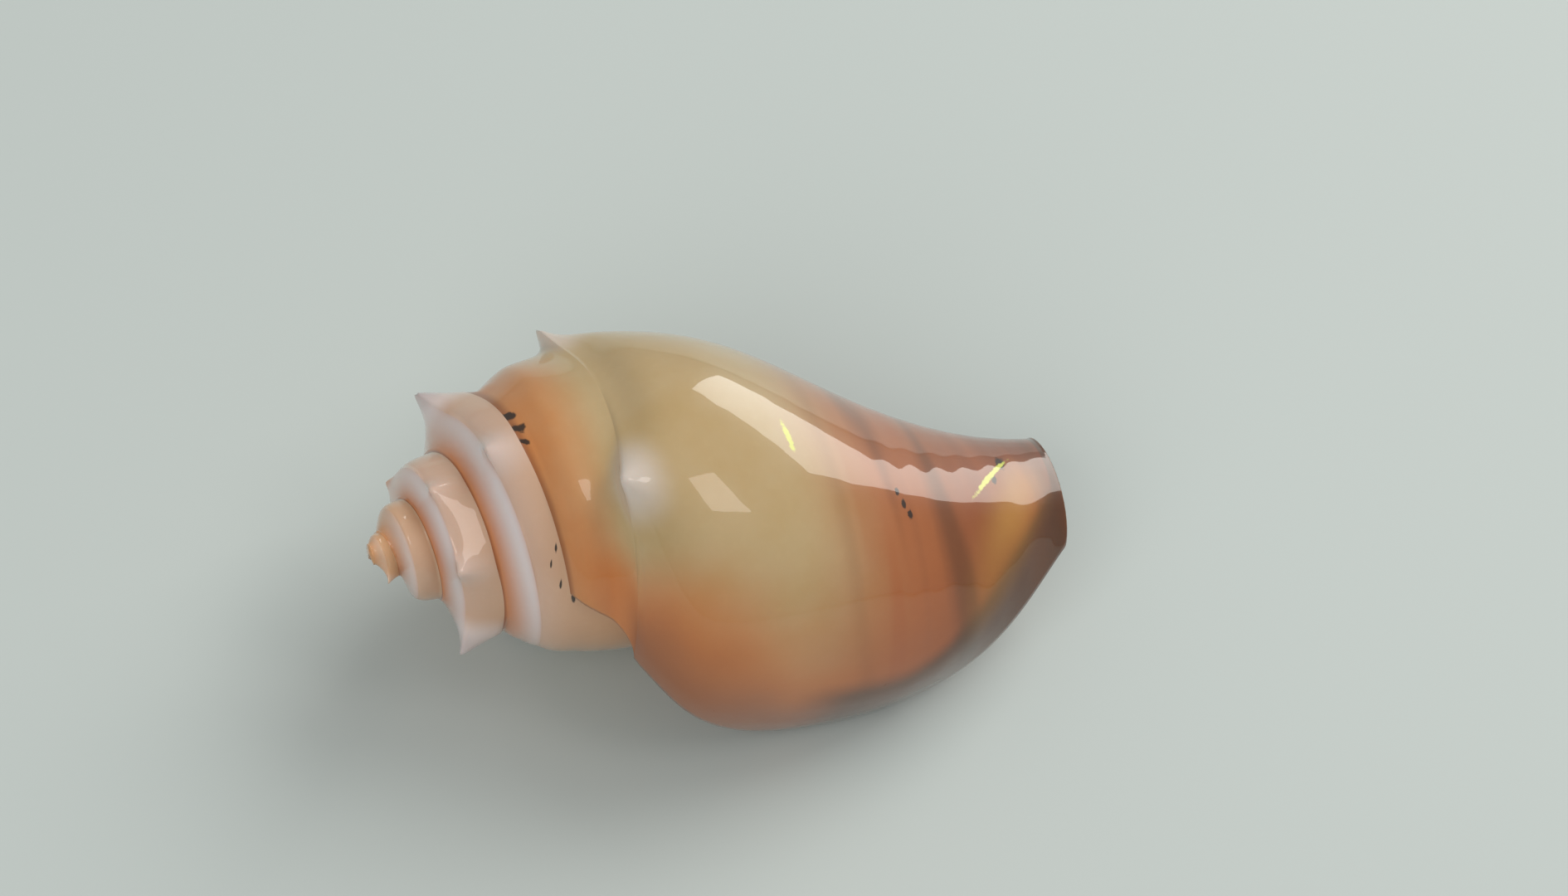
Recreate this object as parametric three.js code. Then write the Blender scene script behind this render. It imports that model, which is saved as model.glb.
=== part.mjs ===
// Conch shell, one whole shell grown as a single piece, lying on its lip edge.
// Millimetres, +Z up, apex towards -X, origin under the middle of the shell.
// The wall is one surface wound round the coiling axis. Growth is counted in
// turns from the apex. Across the wall a row runs from the suture over the ramp
// to the shoulder (-1 to 0), then down the flank to the front end (0 to 1).
import * as THREE from 'three'

// Coil: its turns, its length along the axis, and how its shoulder grows
const TURNS = 5.084
const LENGTH = 90
const SHOULDER = { radius: 22.46, power: 1.326 }
const BULB = { radius: 1.1, rise: 0.9, turns: 0.8 }
const DEPTH = { along: 27.6, early: 1.71, late: 3.28, lateShare: 0.48 }
const BODY_DROP = 5.97
const LIP_CLIMB = 7.87
const CLIMB_TURN = 0.45

// Suture: its place on the flank of the turn before, and the rise per turn back
const SUTURE = { place: 0.057, perTurn: 0.008 }

// Ramp between suture and shoulder, as a curve handle, on the spire and on the body
const SPIRE_RAMP = { out: 0.1, along: 0.615 }
const BODY_RAMP = { out: 0.5, along: 0.85 }
const BODY_RAMP_TURN = 1.7

// Rounding of the shoulder, as a share of its radius, and the share of it held back along the axis
const ROUNDING = { spire: 0.17, body: 0.27, held: 0.25, before: 0.6, turns: 0.35, seam: 0.4 }

// Flank from the shoulder to the front end, and how it opens out at the lip
const FLANK = { end: 0.13, power: 1.153, wave: 0.079 }
const LIP_FLANK = { end: 0.714, power: 1.355, wave: -0.059 }
const LIP = { turn: 0.461, flare: 0.425, power: 0.682, reach: 2.7, angle: 121.5 }

// Slant of the lip edge in turns, and the notch at its front end
const SLANT = { suture: -0.09, middle: 0.045, front: -0.112 }
const NOTCH = { turn: 0.336, start: 0.88 }

// Bend of the front end and of the apex, off the straight axis
const FRONT_BEND = { start: 22.1, y: 0.43, z: -13.3 }
const APEX_BEND = { length: 13.5, y: -5.3, z: 4.2 }

// Knobs along the shoulder, by turns back from the lip: pairs of turn and height
const KNOBS = [
  [0.21, 1.8], [0.45, 1.8], [0.66, 2.0], [0.8, 3.0], [1.28, 1.4], [1.47, 2.4], [1.64, 1.6],
  [1.97, 2.4], [2.13, 1.2], [2.28, 1.0], [2.55, 0.9], [2.72, 1.2], [4.0, 1.2],
]
const KNOB = { angle: 0.3, rampRow: 0.5, flankRow: 0.1, sharpness: 1.9, lean: 0.5, root: 0.25 }

// Wall and hollow
const WALL = { body: 1.6, seam: 0.03, drop: 0.6, front: 1.6, least: 0.3 }
const RIM_STEPS = 4
const RIM_TURN = 0.01
const HOLLOW = { turns: 0.82, loops: 20 }
const TIP_HEIGHT = 0.8

// How the shell lies, in degrees about the long way and across it
const ROLL = -18.9
const PITCH = 1.7

// Fineness of the surface
const COLUMNS_PER_TURN = 40
const FIRST_TURN = 0.3
const RAMP_ROWS = 5
const COLLAR_ROWS = 2
const BODY_ROWS = 12
const FRONT_ROWS = 8

const TAU = 2 * Math.PI
const clamp = (x) => Math.min(1, Math.max(0, x))
const mix = (a, b, share) => a + (b - a) * share
const ease = (x) => clamp(x) ** 2 * (3 - 2 * clamp(x))
const sine = (x) => Math.sin(Math.PI * x)
const lipShare = (growth) => ease((growth - TURNS + LIP.turn) / LIP.turn)
const suturePlace = (growth) => SUTURE.place + SUTURE.perTurn * Math.min(3, Math.max(0, TURNS - growth))

// Radius and depth of the shoulder ridge at a growth
function shoulder(growth) {
  const grown = Math.max(growth / TURNS, 1e-6)
  const deep = mix(grown ** DEPTH.early, grown ** DEPTH.late, DEPTH.lateShare)
  const drop = BODY_DROP * ease((growth - TURNS + 1) / CLIMB_TURN)
  const climb = LIP_CLIMB * ease((growth - TURNS + CLIMB_TURN) / CLIMB_TURN)
  const bulb = Math.exp(-((growth / BULB.turns) ** 2))
  return {
    radius: SHOULDER.radius * grown ** SHOULDER.power + BULB.radius * bulb,
    along: DEPTH.along * deep + drop - climb - BULB.rise * bulb,
  }
}

// Length of the flank along the axis: right to the front end on the last two turns
function flankLength(growth) {
  const twoBack = TURNS - 2
  if (growth >= twoBack) return LENGTH - shoulder(growth).along
  const full = LENGTH - shoulder(twoBack).along
  return full * Math.max(growth / twoBack, 1e-6) ** SHOULDER.power
}

// Reach of the rounding at a growth
function roundingSize(growth) {
  const share = mix(ROUNDING.spire, ROUNDING.body, ease((growth - TURNS + ROUNDING.before) / ROUNDING.turns))
  return share * shoulder(growth).radius
}

// Pulls a point near the shoulder corner in and forward, so that ramp and flank meet in one bend
function rounded(growth, top, point) {
  const size = roundingSize(growth)
  const away = Math.hypot(point.radius - top.radius, point.along - top.along)
  const pull = Math.exp(-away / size) * size / 2
  return { radius: point.radius - pull, along: point.along + pull * (1 - ROUNDING.held) }
}

// Point of the flank, 0 at the shoulder and 1 at the front end
function flank(growth, row) {
  const ridge = shoulder(growth)
  const lip = lipShare(growth)
  const w = clamp(row)
  const end = mix(FLANK.end, LIP_FLANK.end, lip)
  const power = mix(FLANK.power, LIP_FLANK.power, lip)
  const taper = end + (1 - end) * (1 + Math.cos(Math.PI * w ** power)) / 2
  const wave = mix(FLANK.wave, LIP_FLANK.wave, lip) * sine(2 * w)
  const flare = 1 + LIP.flare * lip * sine(w ** LIP.power)
  const reach = LIP.reach * lip * ease((w - 0.5) / 0.4)
  const point = {
    radius: ridge.radius * (taper + wave) * flare,
    along: ridge.along + flankLength(growth) * row + reach,
  }
  return rounded(growth, ridge, point)
}

// Point of the ramp, 0 at the suture and 1 at the shoulder, on a curve with one handle.
// The hollow's roof starts a little further down the turn before and lies a wall lower.
function ramp(growth, share, inset) {
  const ridge = shoulder(growth)
  const top = { radius: ridge.radius - inset, along: ridge.along + inset * WALL.drop }
  const seam = flank(Math.max(growth - 1, 0), suturePlace(growth) + WALL.seam * inset / WALL.body)
  const body = ease(growth - TURNS + BODY_RAMP_TURN)
  const wide = top.radius - seam.radius
  const deep = top.along - seam.along
  const lift = {
    radius: seam.radius + mix(SPIRE_RAMP.out, BODY_RAMP.out, body) * wide,
    along: seam.along + mix(SPIRE_RAMP.along, BODY_RAMP.along, body) * deep,
  }
  const curve = new THREE.CubicBezierCurve(
    new THREE.Vector2(seam.radius, seam.along),
    new THREE.Vector2(lift.radius, lift.along),
    new THREE.Vector2(top.radius, top.along),
    new THREE.Vector2(top.radius, top.along),
  )
  const plain = curve.getPoint(share)
  const bent = rounded(growth, top, { radius: plain.x, along: plain.y })
  const free = ease(share / ROUNDING.seam)
  return { radius: mix(plain.x, bent.radius, free), along: mix(plain.y, bent.along, free) }
}

// Lean of the lip edge at a row, in turns, and the extra turn that the notch cuts back
const notch = (row) => NOTCH.turn * ease((row - NOTCH.start) / (1 - NOTCH.start))

function slant(row) {
  const front = ease((row - 0.5) / 0.5)
  const middle = ease(row / 0.3) * (1 - front)
  return SLANT.suture * clamp(-row) + SLANT.middle * middle + SLANT.front * front
}

// Growth at a column and row: over the last turns the columns lean with the lip edge
function growthAt(column, row) {
  const near = row < 0 ? 0 : SLANT.suture * clamp(row / suturePlace(column + 1))
  if (column < TURNS - 1) return column + clamp(column - TURNS + 2) * near - notch(row)
  return mix(TURNS - 1 + near, TURNS + slant(row), column - TURNS + 1) - notch(row)
}

// Height of the knobs at a growth and row: sharp peaks that run out along the shoulder
// and stand on its rounding
function knobHeight(growth, row) {
  const root = 1 + roundingSize(growth) * KNOB.root
  const across = row / (row < 0 ? KNOB.rampRow : KNOB.flankRow)
  return KNOBS.reduce((height, [back, tall]) => {
    const away = Math.hypot((growth - TURNS + back) * TAU / KNOB.angle, across)
    return height + tall * root * Math.exp(-KNOB.sharpness * away)
  }, 0)
}

// A radius and depth at a growth as a point in space, with the two ends bent
function place(point, growth) {
  const angle = THREE.MathUtils.degToRad(LIP.angle) + TAU * (growth - TURNS)
  const front = clamp((point.along - FRONT_BEND.start) / (LENGTH - FRONT_BEND.start))
  const apex = Math.max(0, 1 - point.along / APEX_BEND.length) ** 2
  return new THREE.Vector3(
    point.along,
    -point.radius * Math.sin(angle) + FRONT_BEND.y * front + APEX_BEND.y * apex,
    point.radius * Math.cos(angle) + FRONT_BEND.z * front + APEX_BEND.z * apex,
  )
}

// Point of the outside
function outside(column, row) {
  const growth = growthAt(column, row)
  const bare = row < 0 ? ramp(growth, row + 1, 0) : flank(growth, row)
  const knob = knobHeight(growth, row)
  return place({ radius: bare.radius + knob, along: bare.along - knob * KNOB.lean }, growth)
}

// Point of the pillar side of the hollow: the flank of the turn before, at a depth
// along the axis, which past its own front end runs on as a thin pillar
function pillar(growth, along) {
  const row = (along - shoulder(growth).along) / flankLength(growth)
  return { radius: flank(growth, row).radius, along }
}

// Point of the hollow's roof, at turns back from the lip edge. The wall is full over the
// body and thins with the gap to the pillar at the front; forward rounds the lip edge.
function roof(back, row, inset, forward) {
  const growth = TURNS + slant(row) - notch(row) - back
  if (row < 0) return place(ramp(growth, row + 1, inset), growth)
  const outer = flank(growth, row)
  const along = outer.along + inset * mix(WALL.drop, -WALL.front, ease(row))
  const core = pillar(growth - 1, along)
  const gap = outer.radius - core.radius
  const radius = core.radius + Math.max(gap - inset, gap * mix(1, WALL.least, inset / WALL.body))
  return place({ radius, along }, growth + forward * ease(row / 0.3) / (TAU * Math.max(radius, 4)))
}

// Point of the hollow's floor, on the turn before
function floor(back, row, inset) {
  const growth = TURNS - 1 + SLANT.suture - notch(row) - back
  const seam = suturePlace(growth + 1) + WALL.seam * inset / WALL.body
  const share = (row - SUTURE.place) / (1 - SUTURE.place)
  const outer = flank(growth, mix(seam, 1, share))
  return place(pillar(growth, outer.along - inset * WALL.front * ease(share)), growth)
}

// Rows of the upper band at a column: over the ramp, then down to the next turn's suture
function upperRows(column) {
  const rampRows = Array.from({ length: RAMP_ROWS }, (_, step) => step / RAMP_ROWS - 1)
  const collar = Array.from({ length: COLLAR_ROWS + 1 }, (_, step) => step / COLLAR_ROWS)
  return [...rampRows, ...collar.map((share) => share * suturePlace(column + 1))]
}

// Rows of the last turn below the suture: down to the notch, then closer to the front end
const rowsBetween = (from, to, count) => Array.from({ length: count }, (_, step) => mix(from, to, (step + 1) / count))
const bodyRows = [
  ...rowsBetween(SUTURE.place, NOTCH.start, BODY_ROWS),
  ...rowsBetween(NOTCH.start, 1, FRONT_ROWS),
]

const points = []
const faces = []
const addPoint = (point) => points.push(point) - 1

function addFace(a, b, c) {
  if (a !== b && b !== c && c !== a) faces.push(a, b, c)
}

// Joins two rows of points of the same length with a strip of faces
function strip(left, right) {
  for (let step = 1; step < left.length; step++) {
    addFace(left[step - 1], right[step - 1], right[step])
    addFace(left[step - 1], right[step], left[step])
  }
}

const ring = (left, right) => strip([...left, left[0]], [...right, right[0]])

// Joins two rows of points that start together and may differ in number
function zip(left, right) {
  let a = 0
  let b = 0
  while (a < left.length - 1 || b < right.length - 1) {
    if ((a + 1) / (left.length - 1) <= (b + 1) / (right.length - 1)) {
      addFace(left[a + 1], left[a], right[b])
      a++
    } else {
      addFace(left[a], right[b], right[b + 1])
      b++
    }
  }
}

// Outside: each turn starts on the suture points of the turn before
const columnCount = Math.floor((TURNS - FIRST_TURN) * COLUMNS_PER_TURN)
const columns = Array.from({ length: columnCount + 1 }, (_, step) => TURNS - (columnCount - step) / COLUMNS_PER_TURN)
const apexPoint = addPoint(place({ radius: 0, along: 0 }, 0))
const upper = []
for (const column of columns) {
  const turnBefore = upper[upper.length - COLUMNS_PER_TURN]
  const seam = turnBefore ? turnBefore.at(-1) : apexPoint
  upper.push([seam, ...upperRows(column).slice(1).map((row) => addPoint(outside(column, row)))])
}
strip(upper[0].map(() => apexPoint), upper[0])
for (let step = 1; step < upper.length; step++) strip(upper[step - 1], upper[step])

const lower = []
for (let step = columnCount - COLUMNS_PER_TURN; step <= columnCount; step++) {
  lower.push([upper[step].at(-1), ...bodyRows.map((row) => addPoint(outside(columns[step], row)))])
}
for (let step = 1; step < lower.length; step++) strip(lower[step - 1], lower[step])

// Front tip, closed over the pillar
const frontEdge = lower.map((rows) => rows.at(-1))
const tipPoint = addPoint(place({ radius: 0, along: LENGTH + TIP_HEIGHT }, TURNS))
ring(frontEdge.map(() => tipPoint), frontEdge)

// Hollow: the lip edge is rounded over, then loops run back round the pillar
const lipRows = [...upperRows(TURNS), ...bodyRows]
const floorRows = [...bodyRows].reverse()
const loopAt = (back, inset, forward) => [
  ...lipRows.map((row) => addPoint(roof(back, row, inset, forward))),
  ...floorRows.map((row) => addPoint(floor(back, row, inset))),
]
const loops = [[...upper.at(-1), ...lower.at(-1).slice(1), ...lower[0].slice(1).reverse()]]
for (let step = 1; step <= RIM_STEPS; step++) {
  const round = Math.PI * step / RIM_STEPS
  const inset = WALL.body * (1 - Math.cos(round)) / 2
  loops.push(loopAt(RIM_TURN * step / RIM_STEPS, inset, WALL.body * Math.sin(round) / 2))
}
for (let step = 1; step <= HOLLOW.loops; step++) {
  loops.push(loopAt(mix(RIM_TURN, HOLLOW.turns, step / HOLLOW.loops), WALL.body, 0))
}
for (let step = 1; step < loops.length; step++) ring(loops[step - 1], loops[step])
const end = loops.at(-1)
zip(end.slice(0, lipRows.length), [end[0], ...end.slice(lipRows.length).reverse()])

// The shell as it lies: rolled and pitched, then set on the ground over the origin
const geometry = new THREE.BufferGeometry().setFromPoints(points)
geometry.setIndex(faces)
geometry.rotateX(THREE.MathUtils.degToRad(ROLL))
geometry.rotateY(THREE.MathUtils.degToRad(PITCH))
geometry.computeBoundingBox()
const middle = geometry.boundingBox.getCenter(new THREE.Vector3())
geometry.translate(-middle.x, -middle.y, -geometry.boundingBox.min.z)
geometry.computeVertexNormals()

const material = new THREE.MeshStandardMaterial({ color: 0xc9a27c, roughness: 0.15, metalness: 0 })
const shell = new THREE.Mesh(geometry, material)
shell.name = 'shell'

const group = new THREE.Group()
group.add(shell)

export default group
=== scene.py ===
"""A glossy conch shell lying on its lip edge, and the pale studio it is seen in.

The shell is one surface wound round a coiling axis. Growth is counted in turns from the
apex. Across the wall a row runs from the suture over the ramp to the shoulder (-1 to 0),
then down the flank to the front end (0 to 1). The shape is worked out in millimetres with
the axis along +X, and is then rolled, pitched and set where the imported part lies.
"""

import logging
from dataclasses import dataclass, field
from enum import Enum

import bpy
import numpy as np
from mathutils import Matrix, Vector


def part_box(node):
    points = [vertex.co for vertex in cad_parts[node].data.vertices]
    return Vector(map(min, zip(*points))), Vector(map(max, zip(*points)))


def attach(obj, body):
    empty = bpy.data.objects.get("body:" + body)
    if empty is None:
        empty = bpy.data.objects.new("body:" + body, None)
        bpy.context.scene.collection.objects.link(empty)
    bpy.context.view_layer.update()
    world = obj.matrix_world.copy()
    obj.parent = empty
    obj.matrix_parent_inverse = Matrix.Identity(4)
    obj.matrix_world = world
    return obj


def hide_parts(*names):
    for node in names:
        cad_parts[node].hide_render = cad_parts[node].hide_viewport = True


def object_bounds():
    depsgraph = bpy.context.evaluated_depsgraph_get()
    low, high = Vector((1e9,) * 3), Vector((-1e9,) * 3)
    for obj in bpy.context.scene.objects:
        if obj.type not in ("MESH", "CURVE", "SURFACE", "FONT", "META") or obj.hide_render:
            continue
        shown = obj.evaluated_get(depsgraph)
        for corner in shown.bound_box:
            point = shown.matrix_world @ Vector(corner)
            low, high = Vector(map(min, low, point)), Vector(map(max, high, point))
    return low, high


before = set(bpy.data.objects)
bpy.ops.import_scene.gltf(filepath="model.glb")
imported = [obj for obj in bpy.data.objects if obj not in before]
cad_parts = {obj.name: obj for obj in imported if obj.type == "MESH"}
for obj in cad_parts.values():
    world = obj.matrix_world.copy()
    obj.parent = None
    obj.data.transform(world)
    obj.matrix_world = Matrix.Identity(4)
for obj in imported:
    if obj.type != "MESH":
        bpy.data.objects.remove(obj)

logging.basicConfig(level=logging.INFO, format="%(levelname)s %(message)s")
LOG = logging.getLogger("conch")

MILLIMETRE = 0.001
TAU = 2 * np.pi

Array = np.ndarray
Colour = tuple[float, float, float]
Pair = tuple[float, float]


def clamp(x: Array) -> Array:
    """Limits x to 0..1."""
    return np.clip(x, 0.0, 1.0)


def mix(a: Array, b: Array, share: Array) -> Array:
    """Goes from a to b as share goes from 0 to 1."""
    return a + (b - a) * share


def ease(x: Array) -> Array:
    """Smooth step: 0 below 0, 1 above 1, level at both ends."""
    return clamp(x) ** 2 * (3 - 2 * clamp(x))


def sine(x: Array) -> Array:
    """Sine of half turns: one whole arch from 0 to 1."""
    return np.sin(np.pi * x)


def hill(x: Array) -> Array:
    """Bell curve of height 1 at 0."""
    return np.exp(-(x**2))


@dataclass(frozen=True)
class Span:
    """A stretch of turns or rows over which something fades in; a negative length fades it out."""

    start: float
    length: float

    def rise(self, place: Array) -> Array:
        """0 before the start and 1 past the end, eased between."""
        return ease((place - self.start) / self.length)


@dataclass(frozen=True)
class Ripple:
    """A sine over the coil: radians per turn and per row, and its angle at the start."""

    per_turn: float
    per_row: float = 0.0
    start: float = 0.0

    def at(self, growth: Array, row: Array) -> Array:
        """Sine of the angle at a growth and row."""
        return np.sin(self.per_turn * growth + self.per_row * row + self.start)


@dataclass(frozen=True)
class Coil:
    """How the whorls grow: turns, and lengths in millimetres along and off the axis."""

    turns: float = 5.084
    length: float = 90.0
    radius: float = 22.46
    power: float = 1.326
    bulb_radius: float = 1.1
    bulb_rise: float = 0.9
    bulb_turns: float = 0.8
    along: float = 27.6
    early: float = 1.71
    late: float = 3.28
    late_share: float = 0.48
    body_drop: float = 5.97
    lip_climb: float = 7.87
    climb_turn: float = 0.45
    suture: float = 0.057
    suture_per_turn: float = 0.008
    suture_turns: float = 3.0


@dataclass(frozen=True)
class RampCurve:
    """Handle of the curve from the suture up to the shoulder, as shares of its width and depth."""

    out: float
    along: float


@dataclass(frozen=True)
class FlankCurve:
    """Taper of the flank: what is left at the front end, how late it falls, and its belly."""

    end: float
    power: float
    wave: float


@dataclass(frozen=True)
class Rounding:
    """Rounding of the shoulder: its reach as a share of the ridge radius, and how far it pulls."""

    spire: float = 0.17
    body: float = 0.27
    body_span: Span = Span(-0.6, 0.35)
    pull: float = 0.5
    lip_pull: float = 0.42
    lip_span: Span = Span(-1.0, 0.65)
    held_back: float = 0.25
    seam_span: Span = Span(0.0, 0.4)
    knob_root: float = 0.25


@dataclass(frozen=True)
class Lip:
    """The last part turn, where the flank opens out, and the lean and notch of its edge."""

    turn: float = 0.461
    flare: float = 0.425
    power: float = 0.682
    reach: float = 2.7
    reach_span: Span = Span(0.5, 0.4)
    angle: float = 121.5
    slant_suture: float = -0.09
    slant_middle: float = 0.045
    slant_front: float = -0.112
    middle_span: Span = Span(0.0, 0.3)
    front_span: Span = Span(0.5, 0.5)
    notch_turn: float = 0.336
    notch_start: float = 0.88


@dataclass(frozen=True)
class Bends:
    """How far the front end and the apex bend off the straight axis, in millimetres."""

    front_start: float = 22.1
    front_y: float = 0.43
    front_z: float = -13.3
    apex_length: float = 13.5
    apex_y: float = -5.3
    apex_z: float = 4.2


@dataclass(frozen=True)
class Knobs:
    """Thorns along the shoulder, as pairs of turns back from the lip and height."""

    peaks: tuple[Pair, ...] = (
        *((0.21, 1.8), (0.45, 1.8), (0.66, 2.0), (0.8, 3.0)),
        *((1.28, 1.4), (1.47, 2.4), (1.64, 1.6), (1.97, 2.4)),
        *((2.13, 1.2), (2.28, 1.0), (2.55, 0.9), (2.72, 1.2), (4.0, 1.2)),
    )
    angle: float = 0.3
    ramp_row: float = 0.5
    flank_row: float = 0.1
    sharpness: float = 1.9
    blunt: float = 0.09
    lean: float = 0.5


@dataclass(frozen=True)
class Wall:
    """Thickness of the wall and extent of the hollow behind the lip."""

    body: float = 1.6
    seam: float = 0.03
    drop: float = 0.6
    front: float = 1.6
    least: float = 0.3
    rim_turn: float = 0.01
    hollow_turns: float = 0.82
    round_span: Span = Span(0.0, 0.3)
    least_radius: float = 4.0
    first_shade: float = 0.3
    shade_turns: float = 0.25


@dataclass(frozen=True)
class Relief:
    """Small forms on the outside: heights in millimetres, places in turns and rows."""

    least_level: float = 0.35
    rim_span: Span = Span(0.0, 0.03)

    bead: float = 0.16
    bead_row: float = 0.035
    bead_place: float = 1.6
    bead_lumps: float = 0.7
    lump_turn: float = 61.0
    lump_drift: Ripple = Ripple(23.0)
    lump_drift_angle: float = 2.0

    crease: float = 0.3
    crease_back: float = 0.06
    crease_width: float = 0.026
    crease_start: Span = Span(0.22, 0.2)
    crease_end: Span = Span(0.9, -0.1)

    line: float = 0.008
    line_wander: Ripple = Ripple(3.0, 9.0)
    line_wander_turn: float = 0.004
    coarse_line: Ripple = Ripple(210.0)
    line_beat: Ripple = Ripple(47.0, 0.0, 1.3)
    fine_line: Ripple = Ripple(390.0, 4.0)
    fine_share: float = 0.6
    line_turns: Span = Span(0.7, -0.6)
    line_rows: Span = Span(-0.1, 0.3)

    cord: float = 0.014
    cords_per_row: float = 17.0
    cord_drift: Ripple = Ripple(5.0)
    cord_drift_share: float = 0.2
    cord_rows: Span = Span(0.42, 0.2)

    dent: float = 0.16
    long_dents: Ripple = Ripple(2.3 * TAU, 5.0)
    cross_dents: Ripple = Ripple(1.7 * TAU, 7.1, 0.6)
    dent_rows: Span = Span(-0.2, 0.4)

    def beads(self, growth: Array, row: Array) -> Array:
        """Uneven bead beside the suture: a bell over the row times one plus a sine."""
        drift = self.lump_drift_angle * self.lump_drift.at(growth, row)
        lumps = np.sin(self.lump_turn * growth + drift)
        place = (row + 1) / self.bead_row - self.bead_place
        return self.bead * hill(place) * (1 + self.bead_lumps * lumps)

    def creases(self, back: Array, row: Array) -> Array:
        """Soft ridge behind the front of the lip: a bell over the turns back, faded by row."""
        front = self.crease_start.rise(row) * self.crease_end.rise(row)
        return self.crease * hill((back - self.crease_back) / self.crease_width) * front

    def growth_lines(self, growth: Array, back: Array, row: Array) -> Array:
        """Fine uneven lines towards the lip: a beating sine plus a finer one.

        Args:
            growth: turns from the apex.
            back: turns back from the lip edge.
            row: row across the wall.

        Returns:
            Height in millimetres.
        """
        place = growth + self.line_wander_turn * self.line_wander.at(growth, row)
        coarse = self.coarse_line.at(place, row) * self.line_beat.at(growth, row)
        both = coarse + self.fine_share * self.fine_line.at(place, row)
        return both * self.line * self.line_turns.rise(back) * self.line_rows.rise(row)

    def cords(self, growth: Array, row: Array) -> Array:
        """Faint cords round the front: a sine over the row that drifts with growth."""
        place = row * self.cords_per_row + self.cord_drift_share * self.cord_drift.at(growth, row)
        return self.cord * np.sin(TAU * place) * self.cord_rows.rise(row)

    def dents(self, growth: Array, row: Array) -> Array:
        """Wide dents: the product of two sines."""
        crossed = self.long_dents.at(growth, row) * self.cross_dents.at(growth, row)
        return self.dent * crossed * self.dent_rows.rise(row)


@dataclass(frozen=True)
class Fineness:
    """Numbers of columns, rows and loops of the surface."""

    columns_per_turn: int = 240
    first_turn: float = 0.3
    ramp_rows: int = 26
    collar_rows: int = 8
    body_rows: int = 84
    front_rows: int = 32
    rim_loops: int = 10
    hollow_loops: int = 56
    tip_rings: int = 8


@dataclass(frozen=True)
class Resting:
    """How the shell lies: degrees about the long way and across it."""

    roll: float = -18.9
    pitch: float = 1.7
    tip_height: float = 0.8

    def turned(self, points: Array) -> Array:
        """Rolls and pitches points of the straight shell.

        Args:
            points: points with x, y, z last, in millimetres.

        Returns:
            The same points, rolled about X and then pitched about Y.
        """
        roll = np.array(Matrix.Rotation(np.radians(self.roll), 3, "X"))
        pitch = np.array(Matrix.Rotation(np.radians(self.pitch), 3, "Y"))
        return points @ (pitch @ roll).T


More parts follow.
